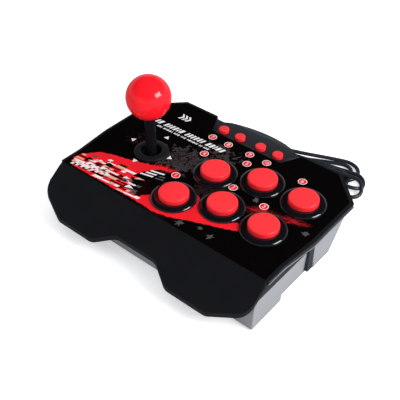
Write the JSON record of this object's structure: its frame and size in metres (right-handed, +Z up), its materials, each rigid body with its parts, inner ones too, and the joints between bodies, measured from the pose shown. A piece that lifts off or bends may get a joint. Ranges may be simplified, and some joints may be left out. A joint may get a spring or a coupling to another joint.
{
  "type": "joystick controller",
  "caption": "Tabletop arcade joystick with a ball-top lever, crowned push buttons, small menu buttons on a rear ledge, a raked palm rest and a tied lead.",
  "frame": {"origin": "on the table under the middle of the case's outline, the lead left out", "axes": "+X to the player's right, +Y away from the player, +Z up"},
  "size_m": [0.2084, 0.221, 0.1077],
  "materials": {
    "cover_black": "fine satin moulding",
    "shell_grey": "light grey, fine grain",
    "strip_dark": "satin",
    "printed_sheet": "gloss black with a printed pattern in red, grey and white",
    "rubber_black": "matt",
    "steel": "plain",
    "spring_steel": "plain",
    "ball_red": "polished",
    "button_red": "satin gloss",
    "bezel_black": "polished",
    "cap_red": "satin gloss",
    "sleeve_black": "gloss",
    "collar_black": "satin",
    "mechanism_plastic": "plain",
    "switch_black": "plain",
    "silicone_clear": "soft",
    "board_green": "solder mask",
    "cord_black": "gloss jacket",
    "tie_black": "satin",
    "plug_black": "satin",
    "plug_steel": "plain",
    "plug_white": "plain"
  },
  "bodies": {
    "housing": {"base_shell": "shell_grey", "button_bezel_1": "bezel_black", "button_bezel_2": "bezel_black", "button_bezel_3": "bezel_black", "button_bezel_4": "bezel_black", "button_bezel_5": "bezel_black", "button_bezel_6": "bezel_black", "button_board": "board_green", "controller_chip": "switch_black", "cover_screws": "steel", "lead_free": "cord_black", "lead_hank": "cord_black", "lead_tail": "cord_black", "lead_tie": "tie_black", "lever_housing": "mechanism_plastic", "lever_switch_back": "switch_black", "lever_switch_front": "switch_black", "lever_switch_left": "switch_black", "lever_switch_right": "switch_black", "menu_switches": "switch_black", "panel_overlay": "printed_sheet", "plug_grip": "plug_black", "plug_insert": "plug_white", "plug_shell": "plug_steel", "restrictor_gate": "mechanism_plastic", "return_dome_1": "silicone_clear", "return_dome_2": "silicone_clear", "return_dome_3": "silicone_clear", "return_dome_4": "silicone_clear", "return_dome_5": "silicone_clear", "return_dome_6": "silicone_clear", "rubber_feet": "rubber_black", "side_strip_left": "strip_dark", "side_strip_right": "strip_dark", "stick_collar": "collar_black", "strain_relief": "cord_black", "top_cover": "cover_black"},
    "gimbal": {"gimbal_ring": "mechanism_plastic", "gimbal_pins": "steel"},
    "stick": {"ball_top": "ball_red", "stick_shaft": "steel", "shaft_sleeve": "sleeve_black", "dust_dome": "sleeve_black", "cross_pin": "steel", "centring_spring": "spring_steel", "actuator": "mechanism_plastic", "retaining_clip": "spring_steel"},
    "button_1": {"button_plunger_1": "button_red"},
    "button_2": {"button_plunger_2": "button_red"},
    "button_3": {"button_plunger_3": "button_red"},
    "button_4": {"button_plunger_4": "button_red"},
    "button_5": {"button_plunger_5": "button_red"},
    "button_6": {"button_plunger_6": "button_red"},
    "menu_1": {"menu_cap_1": "cap_red"},
    "menu_2": {"menu_cap_2": "cap_red"},
    "menu_3": {"menu_cap_3": "cap_red"},
    "menu_4": {"menu_cap_4": "cap_red"}
  },
  "joints": [
    {"name": "stick_left_right", "type": "hinge", "parent": "housing", "child": "gimbal", "pos_m": [-0.0536, -0.0019, 0.0233], "axis": [0, 1, 0], "range_deg": [-8, 8], "stiffness_Nm_per_rad": 1},
    {"name": "stick_fore_aft", "type": "hinge", "parent": "gimbal", "child": "stick", "pos_m": [-0.0536, -0.0019, 0.0233], "axis": [1, 0, 0], "range_deg": [-8, 8], "stiffness_Nm_per_rad": 1},
    {"name": "press_button_1", "type": "slide", "parent": "housing", "child": "button_1", "axis": [0, 0, -1], "range_m": [0, 0.003], "stiffness_N_per_m": 150, "springref_m": -0.002, "deforming": ["return_dome_1"]},
    {"name": "press_button_2", "type": "slide", "parent": "housing", "child": "button_2", "axis": [0, 0, -1], "range_m": [0, 0.003], "stiffness_N_per_m": 150, "springref_m": -0.002, "deforming": ["return_dome_2"]},
    {"name": "press_button_3", "type": "slide", "parent": "housing", "child": "button_3", "axis": [0, 0, -1], "range_m": [0, 0.003], "stiffness_N_per_m": 150, "springref_m": -0.002, "deforming": ["return_dome_3"]},
    {"name": "press_button_4", "type": "slide", "parent": "housing", "child": "button_4", "axis": [0, 0, -1], "range_m": [0, 0.003], "stiffness_N_per_m": 150, "springref_m": -0.002, "deforming": ["return_dome_4"]},
    {"name": "press_button_5", "type": "slide", "parent": "housing", "child": "button_5", "axis": [0, 0, -1], "range_m": [0, 0.003], "stiffness_N_per_m": 150, "springref_m": -0.002, "deforming": ["return_dome_5"]},
    {"name": "press_button_6", "type": "slide", "parent": "housing", "child": "button_6", "axis": [0, 0, -1], "range_m": [0, 0.003], "stiffness_N_per_m": 150, "springref_m": -0.002, "deforming": ["return_dome_6"]},
    {"name": "press_menu_1", "type": "slide", "parent": "housing", "child": "menu_1", "axis": [0, 0, -1], "range_m": [0, 0.001], "stiffness_N_per_m": 400, "springref_m": -0.0005},
    {"name": "press_menu_2", "type": "slide", "parent": "housing", "child": "menu_2", "axis": [0, 0, -1], "range_m": [0, 0.001], "stiffness_N_per_m": 400, "springref_m": -0.0005},
    {"name": "press_menu_3", "type": "slide", "parent": "housing", "child": "menu_3", "axis": [0, 0, -1], "range_m": [0, 0.001], "stiffness_N_per_m": 400, "springref_m": -0.0005},
    {"name": "press_menu_4", "type": "slide", "parent": "housing", "child": "menu_4", "axis": [0, 0, -1], "range_m": [0, 0.001], "stiffness_N_per_m": 400, "springref_m": -0.0005}
  ]
}
